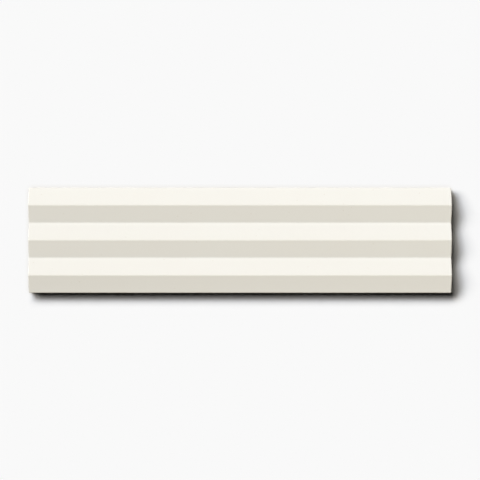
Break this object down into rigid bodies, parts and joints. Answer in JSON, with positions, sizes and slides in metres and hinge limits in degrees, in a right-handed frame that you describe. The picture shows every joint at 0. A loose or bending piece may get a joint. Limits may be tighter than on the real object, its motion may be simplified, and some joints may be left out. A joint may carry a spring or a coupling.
{
  "type": "bevelled ceramic wall tile",
  "caption": "Long glazed ceramic wall tile whose face is folded into straight bevelled ridges, with flat joint sides and a ribbed back for adhesive.",
  "frame": {"origin": "middle of the back, on the plane that the back's ribs stand on", "axes": "+X along the ridges, +Y across them, +Z out of the glazed face"},
  "size_m": [0.3, 0.0744, 0.0121],
  "materials": {
    "glaze": "satin"
  },
  "bodies": {
    "root": {"tile": "glaze"}
  },
  "joints": []
}
